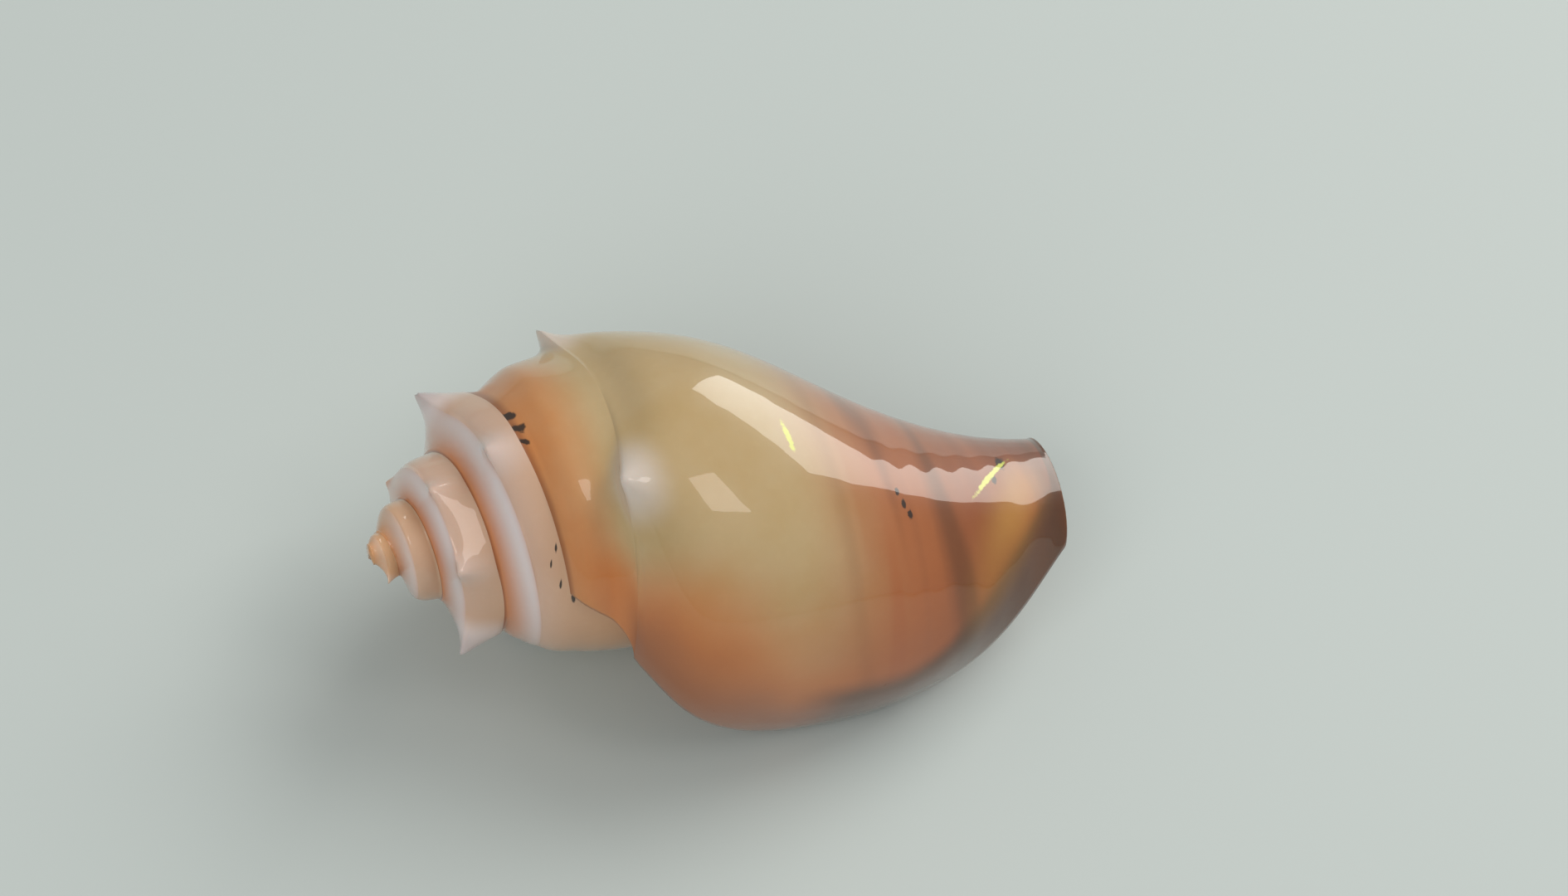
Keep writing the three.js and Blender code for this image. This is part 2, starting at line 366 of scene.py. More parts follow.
@dataclass(frozen=True)
class ConchForm:
    """The shell's surface as a formula over growth and row, in millimetres."""

    coil: Coil = Coil()
    spire_ramp: RampCurve = RampCurve(out=0.1, along=0.615)
    body_ramp: RampCurve = RampCurve(out=0.74, along=0.6)
    rounding: Rounding = Rounding()
    body_ramp_turn: float = 1.7
    flank_curve: FlankCurve = FlankCurve(end=0.13, power=1.153, wave=0.079)
    lip_curve: FlankCurve = FlankCurve(end=0.714, power=1.355, wave=-0.059)
    lip: Lip = Lip()
    bends: Bends = Bends()
    knobs: Knobs = Knobs()
    wall: Wall = Wall()
    relief: Relief = Relief()

    def lip_share(self, growth: Array) -> Array:
        """How far the flank has opened into the lip, 0 to 1."""
        return ease((growth - self.coil.turns + self.lip.turn) / self.lip.turn)

    def suture_place(self, growth: Array) -> Array:
        """Row on the turn before on which the suture lies, a little lower further back."""
        back = np.clip(self.coil.turns - growth, 0.0, self.coil.suture_turns)
        return self.coil.suture + self.coil.suture_per_turn * back

    def shoulder(self, growth: Array) -> tuple[Array, Array]:
        """Radius and depth of the shoulder ridge.

        The radius is a power of the grown share, the depth a mix of an early and a late
        power. Over the last turn the ridge first drops, then climbs to the lip.

        Args:
            growth: turns from the apex.

        Returns:
            The radius and the depth along the axis.
        """
        c = self.coil
        grown = np.maximum(growth / c.turns, 1e-6)
        deep = mix(grown**c.early, grown**c.late, c.late_share)
        drop = c.body_drop * ease((growth - c.turns + 1) / c.climb_turn)
        climb = c.lip_climb * ease((growth - c.turns + c.climb_turn) / c.climb_turn)
        bulb = hill(growth / c.bulb_turns)
        radius = c.radius * grown**c.power + c.bulb_radius * bulb
        return radius, c.along * deep + drop - climb - c.bulb_rise * bulb

    def flank_length(self, growth: Array) -> Array:
        """Length of the flank along the axis: to the front end on the last two turns.

        Args:
            growth: turns from the apex.

        Returns:
            The length in millimetres.
        """
        c = self.coil
        two_back = c.turns - 2
        full = c.length - self.shoulder(two_back)[1]
        early = full * np.maximum(growth / two_back, 1e-6) ** c.power
        return np.where(growth >= two_back, c.length - self.shoulder(growth)[1], early)

    def flank(self, growth: Array, row: Array) -> tuple[Array, Array]:
        """Radius and depth on the flank: half a cosine down to the end share, with a belly.

        Args:
            growth: turns from the apex.
            row: 0 at the shoulder and 1 at the front end; past 1 the radius stays.

        Returns:
            The radius and the depth along the axis.
        """
        ridge_radius, ridge_along = self.shoulder(growth)
        lip = self.lip_share(growth)
        w = clamp(row)
        end = mix(self.flank_curve.end, self.lip_curve.end, lip)
        power = mix(self.flank_curve.power, self.lip_curve.power, lip)
        taper = end + (1 - end) * (1 + np.cos(np.pi * w**power)) / 2
        wave = mix(self.flank_curve.wave, self.lip_curve.wave, lip) * sine(2 * w)
        flare = 1 + self.lip.flare * lip * sine(w**self.lip.power)
        reach = self.lip.reach * lip * self.lip.reach_span.rise(w)
        radius = ridge_radius * (taper + wave) * flare
        along = ridge_along + self.flank_length(growth) * row + reach
        return self.rounded(growth, ridge_radius, ridge_along, radius, along)

    def bend_size(self, growth: Array) -> Array:
        """Reach of the shoulder's rounding: a share of the ridge radius, larger near the lip."""
        near_lip = self.rounding.body_span.rise(growth - self.coil.turns)
        return mix(self.rounding.spire, self.rounding.body, near_lip) * self.shoulder(growth)[0]

    def rounded(
        self, growth: Array, top_radius: Array, top_along: Array, radius: Array, along: Array
    ) -> tuple[Array, Array]:
        """Rounds the shoulder: points are pulled in and forward, less with distance from it.

        The pull is a share of the rounding times an exponential of the distance, which turns
        the corner between ramp and flank into one smooth bend. The corner opens flat towards
        the lip, so the exponential becomes a soft bell of the distance there.

        Args:
            growth: turns from the apex.
            top_radius: radius of the corner.
            top_along: depth of the corner.
            radius: radius of the points.
            along: depth of the points.

        Returns:
            The rounded radius and depth.
        """
        away = np.hypot(radius - top_radius, along - top_along)
        size = self.bend_size(growth)
        lip = self.rounding.lip_span.rise(growth - self.coil.turns)
        most = size * mix(self.rounding.pull, self.rounding.lip_pull, lip)
        pull = np.exp(-((away / size) ** (1 + lip))) * most
        return radius - pull, along + pull * (1 - self.rounding.held_back)

    def ramp(self, growth: Array, share: Array, inset: float) -> tuple[Array, Array]:
        """Radius and depth on the ramp: a cubic curve from suture to shoulder, then rounded.

        The curve leaves the suture towards one handle. Its other handle is the shoulder.

        Args:
            growth: turns from the apex.
            share: 0 at the suture and 1 at the shoulder.
            inset: how far inside the outer surface, in millimetres.

        Returns:
            The radius and the depth along the axis.
        """
        ridge_radius, ridge_along = self.shoulder(growth)
        top_radius = ridge_radius - inset
        top_along = ridge_along + inset * self.wall.drop
        place = self.suture_place(growth) + self.wall.seam * inset / self.wall.body
        seam_radius, seam_along = self.flank(np.maximum(growth - 1, 0.0), place)
        body = ease(growth - self.coil.turns + self.body_ramp_turn)
        wide, deep = top_radius - seam_radius, top_along - seam_along
        lift_radius = seam_radius + mix(self.spire_ramp.out, self.body_ramp.out, body) * wide
        lift_along = seam_along + mix(self.spire_ramp.along, self.body_ramp.along, body) * deep
        s, t = share, 1 - share
        weights = (t**3, 3 * t**2 * s, 3 * t * s**2 + s**3)
        radius = sum(w * r for w, r in zip(weights, (seam_radius, lift_radius, top_radius)))
        along = sum(w * a for w, a in zip(weights, (seam_along, lift_along, top_along)))
        bent_radius, bent_along = self.rounded(growth, top_radius, top_along, radius, along)
        free = self.rounding.seam_span.rise(s)
        return mix(radius, bent_radius, free), mix(along, bent_along, free)

    def notch(self, row: Array) -> Array:
        """Turns that the notch cuts back from the lip edge towards the front end."""
        return self.lip.notch_turn * ease((row - self.lip.notch_start) / (1 - self.lip.notch_start))

    def slant(self, row: Array) -> Array:
        """Turns by which the lip edge leans at a row."""
        lip = self.lip
        front = lip.front_span.rise(row)
        middle = lip.middle_span.rise(row) * (1 - front)
        return lip.slant_suture * clamp(-row) + lip.slant_middle * middle + lip.slant_front * front

    def growth_at(self, column: Array, row: Array) -> Array:
        """Growth at a column and row: over the last turns the columns lean with the lip edge."""
        turns = self.coil.turns
        near = np.where(row < 0, 0.0, self.lip.slant_suture * clamp(row / self.suture_place(column + 1)))
        early = column + clamp(column - turns + 2) * near
        late = mix(turns - 1 + near, turns + self.slant(row), column - turns + 1)
        return np.where(column < turns - 1, early, late) - self.notch(row)

    def near_knobs(self, growth: Array, row: Array, spread: float) -> Array:
        """Sum over the knobs of height times a curve that falls off with distance.

        Args:
            growth: turns from the apex.
            row: row across the wall.
            spread: 0 for the knob's own sharp shape, or the size of a soft patch round it.

        Returns:
            Height in millimetres, or closeness in the same weight for a soft patch.
        """
        k = self.knobs
        across = row / np.where(row < 0, k.ramp_row, k.flank_row)
        total = np.zeros(np.broadcast(growth, row).shape)
        for back, tall in k.peaks:
            away = np.hypot((growth - self.coil.turns + back) * TAU / k.angle, across)
            blunt = np.hypot(away, k.blunt) - k.blunt
            total += tall * (hill(away / spread) if spread else np.exp(-k.sharpness * blunt))
        return total

    def bent(self, radius: Array, along: Array, growth: Array) -> Array:
        """A radius and depth at a growth as points in space, with the two ends bent.

        Args:
            radius: distance from the axis.
            along: depth along the axis.
            growth: turns from the apex, which give the angle.

        Returns:
            The points in millimetres.
        """
        angle = np.radians(self.lip.angle) + TAU * (growth - self.coil.turns)
        b = self.bends
        front = clamp((along - b.front_start) / (self.coil.length - b.front_start))
        apex = np.maximum(0.0, 1 - along / b.apex_length) ** 2
        y = -radius * np.sin(angle) + b.front_y * front + b.apex_y * apex
        z = radius * np.cos(angle) + b.front_z * front + b.apex_z * apex
        return np.stack(np.broadcast_arrays(along, y, z), axis=-1)

    def small_forms(self, growth: Array, row: Array) -> Array:
        """Height of the small relief; all but the bead is gone at the lip edge.

        It adds a bead beside the suture, a soft ridge behind the front of the lip, fine
        uneven growth lines towards the lip, faint cords round the front, and wide dents.

        Args:
            growth: turns from the apex.
            row: row across the wall.

        Returns:
            Height in millimetres, lower towards the apex.
        """
        r = self.relief
        back = self.coil.turns + self.slant(row) - self.notch(row) - growth
        fine = r.creases(back, row) + r.growth_lines(growth, back, row) + r.cords(growth, row)
        level = mix(r.least_level, 1.0, growth / self.coil.turns)
        return level * (r.beads(growth, row) + r.rim_span.rise(back) * (fine + r.dents(growth, row)))

    def outside(self, column: Array, row: Array) -> tuple[Array, Array]:
        """Points of the outside: ramp or flank, with knobs and relief, wound round the axis.

        Args:
            column: turns of the column, before it leans.
            row: row across the wall.

        Returns:
            The points in millimetres, and the growth of each.
        """
        growth = self.growth_at(column, row)
        ramp_radius, ramp_along = self.ramp(growth, clamp(row + 1), 0.0)
        flank_radius, flank_along = self.flank(growth, row)
        radius = np.where(row < 0, ramp_radius, flank_radius)
        along = np.where(row < 0, ramp_along, flank_along)
        root = 1 + self.bend_size(growth) * self.rounding.knob_root
        knob = self.near_knobs(growth, row, 0.0) * root
        small = self.small_forms(growth, row)
        return self.bent(radius + knob + small, along - knob * self.knobs.lean, growth), growth

    def pillar_radius(self, growth: Array, along: Array) -> Array:
        """Radius of the flank at a depth, run on past its own front end as a thin pillar."""
        row = (along - self.shoulder(growth)[1]) / self.flank_length(growth)
        return self.flank(growth, row)[0]

    def roof(self, back: Array, row: Array, inset: Array, forward: Array) -> Array:
        """Points of the hollow's roof, the wall full over the body and thinner at the front.

        Args:
            back: turns back from the lip edge.
            row: row across the wall.
            inset: wall thickness there, in millimetres.
            forward: how far past the edge, which rounds the lip.

        Returns:
            Points in space, in millimetres.
        """
        growth = self.coil.turns + self.slant(row) - self.notch(row) - back
        ramp_radius, ramp_along = self.ramp(growth, clamp(row + 1), inset)
        outer_radius, outer_along = self.flank(growth, row)
        along = outer_along + inset * mix(self.wall.drop, -self.wall.front, ease(row))
        core = self.pillar_radius(growth - 1, along)
        gap = outer_radius - core
        radius = core + np.maximum(gap - inset, gap * mix(1.0, self.wall.least, inset / self.wall.body))
        girth = TAU * np.maximum(radius, self.wall.least_radius)
        ahead = growth + forward * self.wall.round_span.rise(row) / girth
        on_ramp = row < 0
        return self.bent(
            np.where(on_ramp, ramp_radius, radius),
            np.where(on_ramp, ramp_along, along),
            np.where(on_ramp, growth, ahead),
        )

    def floor(self, back: Array, row: Array, inset: Array) -> Array:
        """Points of the hollow's floor, which is the flank of the turn before.

        Args:
            back: turns back from the lip edge.
            row: row across the wall.
            inset: wall thickness there, in millimetres.

        Returns:
            Points in space, in millimetres.
        """
        growth = self.coil.turns - 1 + self.lip.slant_suture - self.notch(row) - back
        seam = self.suture_place(growth + 1) + self.wall.seam * inset / self.wall.body
        share = (row - self.coil.suture) / (1 - self.coil.suture)
        outer_along = self.flank(growth, mix(seam, 1.0, share))[1]
        along = outer_along - inset * self.wall.front * ease(share)
        return self.bent(self.pillar_radius(growth, along), along, growth)


@dataclass
class SurfaceSheets:
    """Gathers points and faces, with the place on the coil kept at every face corner."""

    points: list[Array] = field(default_factory=list)
    count: int = 0
    faces: list[Array] = field(default_factory=list)
    places: list[Array] = field(default_factory=list)
    hollow: list[Array] = field(default_factory=list)
    knob: list[Array] = field(default_factory=list)

    def add(self, points: Array, hollow: Array | float = 0.0, knob: Array | float = 0.0) -> Array:
        """Adds points.

        Args:
            points: points with x, y, z last.
            hollow: how far into the hollow each is, 0 to 1.
            knob: how near a knob each is.

        Returns:
            Their numbers, in the same arrangement.
        """
        shape = points.shape[:-1]
        numbers = self.count + np.arange(int(np.prod(shape))).reshape(shape)
        self.points.append(points.reshape(-1, 3))
        self.hollow.append(np.broadcast_to(hollow, shape).ravel())
        self.knob.append(np.broadcast_to(knob, shape).ravel())
        self.count += numbers.size
        return numbers

    def net(self, numbers: Array, place: Array) -> None:
        """Covers a grid of points with four-sided faces, or three-sided where two corners meet.

        Args:
            numbers: point numbers, one row of the grid per column of the shell.
            place: turns back and row at each point, last axis of two.
        """
        corners = [np.s_[:-1, :-1], np.s_[1:, :-1], np.s_[1:, 1:], np.s_[:-1, 1:]]
        quads = np.stack([numbers[c].ravel() for c in corners], axis=1)
        spots = np.stack([place[c].reshape(-1, 2) for c in corners], axis=1)
        whole = quads[:, 0] != quads[:, 1]
        self.faces.append(quads[whole])
        self.places.append(spots[whole].reshape(-1, 2))
        if not whole.all():
            self.faces.append(quads[~whole][:, [0, 2, 3]])
            self.places.append(spots[~whole][:, [0, 2, 3]].reshape(-1, 2))

    def fan(self, middle: int, edge: Array, place: Array) -> None:
        """Closes an edge of points on one point in the middle.

        Args:
            middle: number of the middle point.
            edge: numbers of the points along the edge.
            place: turns back and row of each.
        """
        near, far = edge[:-1], edge[1:]
        keep = (near != far) & (near != middle) & (far != middle)
        tris = np.stack([np.full(near.shape, middle), near, far], axis=1)[keep]
        spots = np.stack([(place[:-1] + place[1:]) / 2, place[:-1], place[1:]], axis=1)[keep]
        self.faces.append(tris)
        self.places.append(spots.reshape(-1, 2))

    def mesh(self, name: str) -> bpy.types.Mesh:
        """Makes the mesh, with its coil map and its two point attributes.

        Args:
            name: the mesh's name.

        Returns:
            The mesh.
        """
        mesh = bpy.data.meshes.new(name)
        points = np.concatenate(self.points)
        faces = [face for block in self.faces for face in block.tolist()]
        mesh.from_pydata(points.tolist(), [], faces)
        coil = mesh.uv_layers.new(name="coil")
        coil.data.foreach_set("uv", np.concatenate(self.places).astype(np.float32).ravel())
        for label, values in (("hollow", self.hollow), ("knob", self.knob)):
            layer = mesh.attributes.new(label, "FLOAT", "POINT")
            layer.data.foreach_set("value", np.concatenate(values).astype(np.float32))
        mesh.polygons.foreach_set("use_smooth", np.ones(len(faces), bool))
        mesh.update()
        return mesh


@dataclass(frozen=True)
class ShellBuilder:
    """Lays the columns, rows and loops of the shell and joins them into one closed mesh."""

    form: ConchForm = ConchForm()
    fineness: Fineness = Fineness()
    resting: Resting = Resting()

    def rows(self) -> Array:
        """Rows below the suture, closer together past the notch."""
        f, lip = self.fineness, self.form.lip
        upper = np.linspace(self.form.coil.suture, lip.notch_start, f.body_rows + 1)[1:]
        return np.concatenate([upper, np.linspace(lip.notch_start, 1.0, f.front_rows + 1)[1:]])

    def upper_rows(self, column: Array) -> Array:
        """Rows over the ramp and down to the next turn's suture, one line per column."""
        f = self.fineness
        ramp = np.linspace(-1.0, 0.0, f.ramp_rows, endpoint=False)
        collar = np.linspace(0.0, 1.0, f.collar_rows + 1)
        place = self.form.suture_place(np.asarray(column) + 1)[..., None]
        wide = np.broadcast_to(ramp, (*place.shape[:-1], ramp.size))
        return np.concatenate([wide, collar * place], axis=-1)

    def place(self, column: Array, row: Array) -> Array:
        """Turns back from the lip edge, and row, as the coil map keeps them."""
        back = self.form.coil.turns - column
        return np.stack(np.broadcast_arrays(back, row), axis=-1)

    def outside(self, sheets: SurfaceSheets) -> tuple[Array, Array]:
        """Winds the whorls, each sharing the suture points of the turn before.

        Args:
            sheets: where the points and faces go.

        Returns:
            Point numbers of the upper band of every column, and of the last turn's lower band.
        """
        f, turns = self.fineness, self.form.coil.turns
        count = int((turns - f.first_turn) * f.columns_per_turn)
        columns = turns - np.arange(count, -1, -1) / f.columns_per_turn
        rows = self.upper_rows(columns)
        points, growth = self.form.outside(columns[:, None], rows)
        knob = self.form.near_knobs(growth, rows, 1.0)
        top = self.form.bent(np.zeros(1), np.full(1, -self.form.coil.bulb_rise), np.zeros(1))
        apex = int(sheets.add(top)[0])
        upper = np.empty(rows.shape, int)
        upper[:, 1:] = sheets.add(points[:, 1:], 0.0, knob[:, 1:])
        upper[: f.columns_per_turn, 0] = apex
        upper[f.columns_per_turn :, 0] = upper[: -f.columns_per_turn, -1]
        place = self.place(columns[:, None], rows)
        sheets.fan(apex, upper[0], place[0])
        sheets.net(upper, place)
        last = columns[-f.columns_per_turn - 1 :]
        body = np.broadcast_to(self.rows(), (last.size, self.rows().size))
        points, growth = self.form.outside(last[:, None], body)
        numbers = sheets.add(points, 0.0, self.form.near_knobs(growth, body, 1.0))
        lower = np.concatenate([upper[-last.size :, -1:], numbers], axis=1)
        below = np.concatenate([place[-last.size :, -1:], self.place(last[:, None], body)], axis=1)
        sheets.net(lower, below)
        self.tip(sheets, lower[:, -1], points[:, -1], below[:, -1])
        return upper, lower

    def tip(self, sheets: SurfaceSheets, edge: Array, points: Array, place: Array) -> None:
        """Domes the front end over: rings shrink with the cosine and rise with the sine.

        Args:
            sheets: where the points and faces go.
            edge: point numbers of the front end.
            points: those points.
            place: turns back and row of each.
        """
        coil = self.form.coil
        middle = self.form.bent(np.zeros(1), np.full(1, coil.length), np.zeros(1))[0]
        round_ = np.linspace(0, np.pi / 2, self.fineness.tip_rings + 1)[1:-1, None, None]
        rings = middle + (points - middle) * np.cos(round_)
        rings[..., 0] += self.resting.tip_height * np.sin(round_[..., 0])
        numbers = np.concatenate([edge[None], sheets.add(rings)])
        numbers = np.concatenate([numbers, numbers[:, :1]], axis=1)[::-1]
        spots = np.concatenate([place, place[:1]])
        sheets.net(numbers, np.broadcast_to(spots, (*numbers.shape, 2)))
        top = int(sheets.add(middle[None] + (self.resting.tip_height, 0.0, 0.0))[0])
        sheets.fan(top, numbers[0], spots)

    def hollow(self, sheets: SurfaceSheets, upper: Array, lower: Array) -> None:
        """Rounds the lip edge over and winds the hollow back round the pillar.

        Args:
            sheets: where the points and faces go.
            upper: point numbers of the upper band.
            lower: point numbers of the last turn's lower band.
        """
        f, wall, turns = self.fineness, self.form.wall, self.form.coil.turns
        body = self.rows()
        roof_rows = np.concatenate([self.upper_rows(turns), body])
        floor_rows = body[::-1]
        round_ = np.linspace(0, np.pi, f.rim_loops + 1)[1:]
        deeper = np.linspace(0, 1, f.hollow_loops + 1)[1:]
        back = np.concatenate([wall.rim_turn * round_ / np.pi, mix(wall.rim_turn, wall.hollow_turns, deeper)])
        inset = np.concatenate([wall.body * (1 - np.cos(round_)) / 2, np.full(deeper.size, wall.body)])
        forward = np.concatenate([wall.body * np.sin(round_) / 2, np.zeros(deeper.size)])
        back, inset, forward = back[:, None], inset[:, None], forward[:, None]
        roof = self.form.roof(back, roof_rows, inset, forward)
        points = np.concatenate([roof, self.form.floor(back, floor_rows, inset)], axis=1)
        deep = ease(inset / wall.body) * mix(wall.first_shade, 1.0, clamp(back / wall.shade_turns))
        numbers = sheets.add(points, np.broadcast_to(deep, points.shape[:-1]))
        edge = np.concatenate([upper[-1], lower[-1, 1:], lower[0, :0:-1]])
        loops = np.concatenate([edge[None], numbers])
        all_rows = np.concatenate([roof_rows, floor_rows])
        place = self.place(turns - np.concatenate([[[0.0]], back]), all_rows)
        loops = np.concatenate([loops, loops[:, :1]], axis=1)
        place = np.concatenate([place, place[:, :1]], axis=1)
        sheets.net(loops, place)
        roof_end, floor_end = numbers[-1, : roof_rows.size], numbers[-1, roof_rows.size :][::-1]
        collar = roof_rows.size - body.size
        spots = place[-1, : roof_rows.size]
        sheets.net(np.stack([floor_end, roof_end[collar:]]), np.stack([spots[collar:], spots[collar:]]))
        fan_edge = roof_end[: collar + 1][::-1]
        sheets.fan(int(floor_end[0]), fan_edge, spots[: collar + 1][::-1])

    def build(self, low: Vector, high: Vector) -> tuple[bpy.types.Mesh, Array]:
        """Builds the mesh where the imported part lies.

        Args:
            low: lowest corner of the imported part, in metres.
            high: its highest corner.

        Returns:
            The mesh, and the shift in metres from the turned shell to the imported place.
        """
        sheets = SurfaceSheets()
        upper, lower = self.outside(sheets)
        self.hollow(sheets, upper, lower)
        turned = [self.resting.turned(block) * MILLIMETRE for block in sheets.points]
        whole = np.concatenate(turned)
        least, most = whole.min(axis=0), whole.max(axis=0)
        shift = (np.array(low) + np.array(high) - least - most) / 2
        shift[2] = low.z - least[2]
        sheets.points = [block + shift for block in turned]
        return sheets.mesh("shell surface"), shift


def shade(red: float, green: float, blue: float) -> Colour:
    """A display colour, 0 to 255, as linear light: a toe below 0.04045 and a 2.4 power above."""
    values = np.array([red, green, blue]) / 255
    linear = np.where(values <= 0.04045, values / 12.92, ((values + 0.055) / 1.055) ** 2.4)
    return tuple(float(v) for v in linear)


class Value:
    """A node output that takes part in arithmetic: each operation is one Math node."""

    def __init__(self, graph: "Graph", socket: bpy.types.NodeSocket) -> None:
        """Keeps the graph and the socket."""
        self.graph = graph
        self.socket = socket

    def __add__(self, other: "Value | float") -> "Value":
        """Sum."""
        return self.graph.math("ADD", self, other)

    __radd__ = __add__

    def __mul__(self, other: "Value | float") -> "Value":
        """Product."""
        return self.graph.math("MULTIPLY", self, other)

    __rmul__ = __mul__

    def __sub__(self, other: "Value | float") -> "Value":
        """Difference."""
        return self.graph.math("SUBTRACT", self, other)

    def __rsub__(self, other: "Value | float") -> "Value":
        """Difference from a number."""
        return self.graph.math("SUBTRACT", other, self)

    def __pow__(self, other: "Value | float") -> "Value":
        """Power."""
        return self.graph.math("POWER", self, other)

    def step(self, start: float, end: float) -> "Value":
        """Smooth step from 0 at start to 1 at end; start may be above end."""
        settings = {"interpolation_type": "SMOOTHSTEP"}
        return self.graph.node("ShaderNodeMapRange", settings, {0: self, 1: start, 2: end})

    def band(self, middle: float, width: float) -> "Value":
        """Soft hill of height 1 at middle that reaches 0 a width away."""
        return self.graph.math("ABSOLUTE", self - middle, 0.0).step(width, 0.0)


class Graph:
    """Builds one material's nodes."""

    def __init__(self, material: bpy.types.Material) -> None:
        """Empties the material's node tree."""
        material.use_nodes = True
        self.tree = material.node_tree
        self.tree.nodes.clear()

    def node(self, kind: str, settings: dict, values: dict, output: int = 0) -> Value:
        """Adds a node: its settings first, then its values and links.

        Args:
            kind: the node's type.
            settings: properties to set.
            values: by input name or number, a value to link or a constant.
            output: which output to return.

        Returns:
            That output.
        """
        made = self.tree.nodes.new(kind)
        for name, setting in settings.items():
            setattr(made, name, setting)
        for key, value in values.items():
            if isinstance(value, Value):
                self.tree.links.new(value.socket, made.inputs[key])
            else:
                made.inputs[key].default_value = value
        return Value(self, made.outputs[output])

    def finish(self, surface: Value) -> None:
        """Links the surface to the material's output."""
        output = self.tree.nodes.new("ShaderNodeOutputMaterial")
        self.tree.links.new(surface.socket, output.inputs["Surface"])

    def math(self, operation: str, a: Value | float, b: Value | float) -> Value:
        """One Math node."""
        return self.node("ShaderNodeMath", {"operation": operation}, {0: a, 1: b})

    def blend(self, a: Value | Colour, b: Value | Colour, share: Value | float, how: str = "MIX") -> Value:
        """Mixes two colours."""
        a, b = ((*c, 1.0) if isinstance(c, tuple) else c for c in (a, b))
        settings = {"data_type": "RGBA", "blend_type": how, "clamp_factor": True}
        return self.node("ShaderNodeMix", settings, {0: share, 6: a, 7: b}, output=2)

    def noise(self, vector: Value, scale: float, detail: float, roughness: float = 0.5) -> Value:
        """Noise from 0 to 1 round a half."""
        values = {"Vector": vector, "Scale": scale, "Detail": detail, "Roughness": roughness}
        return self.node("ShaderNodeTexNoise", {"noise_dimensions": "3D"}, values)


@dataclass(frozen=True)
class ShellFinish:
    """Colours and gloss of the shell."""

    cream: Colour = shade(184, 158, 116)
    khaki: Colour = shade(178, 148, 98)
    orange: Colour = shade(194, 112, 50)
    salmon: Colour = shade(164, 88, 42)
    rust: Colour = shade(112, 52, 20)
    umber: Colour = shade(78, 46, 22)
    ochre: Colour = shade(190, 140, 66)
    # Lavender: the shell's pale colour round the knobs, and on the spire's ridges also a painted highlight.
    lavender: Colour = shade(216, 210, 212)
    slate: Colour = shade(150, 146, 152)
    apex: Colour = shade(196, 150, 106)
    inside: Colour = shade(226, 170, 140)
    throat: Colour = shade(214, 128, 88)
    speck: Colour = shade(22, 18, 14)
    lime: Colour = shade(214, 216, 96)
    white: Colour = (1.0, 1.0, 1.0)
    roughness: float = 0.3
    coat_roughness: float = 0.02
    coat_bend: float = 1.5
    specular: float = 0.2
    glow: float = 0.12
    glow_radius: Colour = (1.0, 0.5, 0.3)
    glow_depth: float = 0.003
    grain_scale: float = 900.0
    grain_colour: float = 0.16
    grain_roughness: float = 0.1
    grain_height: float = 0.2
    pit_scale: float = 420.0
    pit_height: float = 0.4
    bump: float = 0.12
    bump_distance: float = 0.0002


@dataclass(frozen=True)
class Patch:
    """Where a colour lies, as fades over turns back and over rows, and how strongly it shows."""

    strength: float
    back: Pair | None = None
    row: Pair | None = None


@dataclass(frozen=True)
class PaintMap:
    """Places of the colours on the coil."""

    cloud_scale: float = 38.0
    wisp_scale: float = 110.0
    loose: float = 0.1
    swung: float = 0.16
    khaki: Pair = (0.35, 0.7)
    khaki_strength: float = 0.6
    lip: Patch = Patch(0.9, back=(0.155, 0.06), row=(-1.1, -0.6))
    lip_edge: Patch = Patch(0.6, back=(0.1, 0.02), row=(-0.6, 0.0))
    front: Patch = Patch(0.9, row=(0.26, 0.56))
    front_end: Patch = Patch(0.85, row=(0.5, 0.86))
    stripes: Pair = (13.0, 2.6)
    striped: Patch = Patch(1.0, back=(1.2, 0.9), row=(0.36, 0.52))
    dark_stripe: Pair = (0.5, 0.72)
    dark_strength: float = 0.55
    light_stripe: Pair = (0.46, 0.3)
    light_strength: float = 0.5
    margin: Patch = Patch(0.85, back=(0.075, 0.055), row=(0.28, 0.42))
    ochre_back: Pair = (0.09, 0.05)
    ochre_row: Pair = (0.78, 0.14)
    ochre_strength: float = 0.6
    ramp: Pair = (-0.3, -0.95)
    ramp_even: float = 0.45
    ramp_wisp: float = 0.5
    spire: Pair = (0.72, 0.9)
    spire_strength: float = 0.8
    tan: Pair = (-0.1, 0.05)
    tan_strength: float = 0.5
    # The spire's pale ridge: partly the shell's own pale colour, partly a painted highlight that peaks on the
    # side turned to the camera.
    ridge: Pair = (-0.36, 0.7)
    highlight_side: float = 0.2
    ridge_least: float = 0.35
    ridge_strength: float = 0.85
    apex: Patch = Patch(0.75, back=(2.8, 3.6))
    knob: Pair = (0.5, 2.0)
    knob_strength: float = 0.6
    knob_tip: Pair = (1.7, 2.6)
    knob_tip_strength: float = 0.5
    seam: Patch = Patch(0.6, back=(3.4, 2.4), row=(-0.95, -0.995))
    mouth_scale: float = 60.0
    mouth: Pair = (0.02, 0.25)
    throat: Pair = (0.3, 1.0)
    throat_even: float = 0.4


@dataclass(frozen=True)
class StageFinish:
    """Colours and brightness of the studio."""

    floor: Colour = shade(190, 197, 194)
    floor_roughness: float = 0.7
    floor_reach: float = 4.0
    world: Colour = shade(216, 222, 222)
    world_strength: float = 0.5


class MarkKind(Enum):
    """Kinds of small marking."""

    SPECK = "speck"
    STREAK = "streak"


@dataclass(frozen=True)
class Mark:
    """A small marking at a place on the coil, its half lengths in millimetres."""

    kind: MarkKind
    back: float
    row: float
    along_turn: float
    along_row: float
    turn_length: float = 120.0
    row_length: float = 62.0


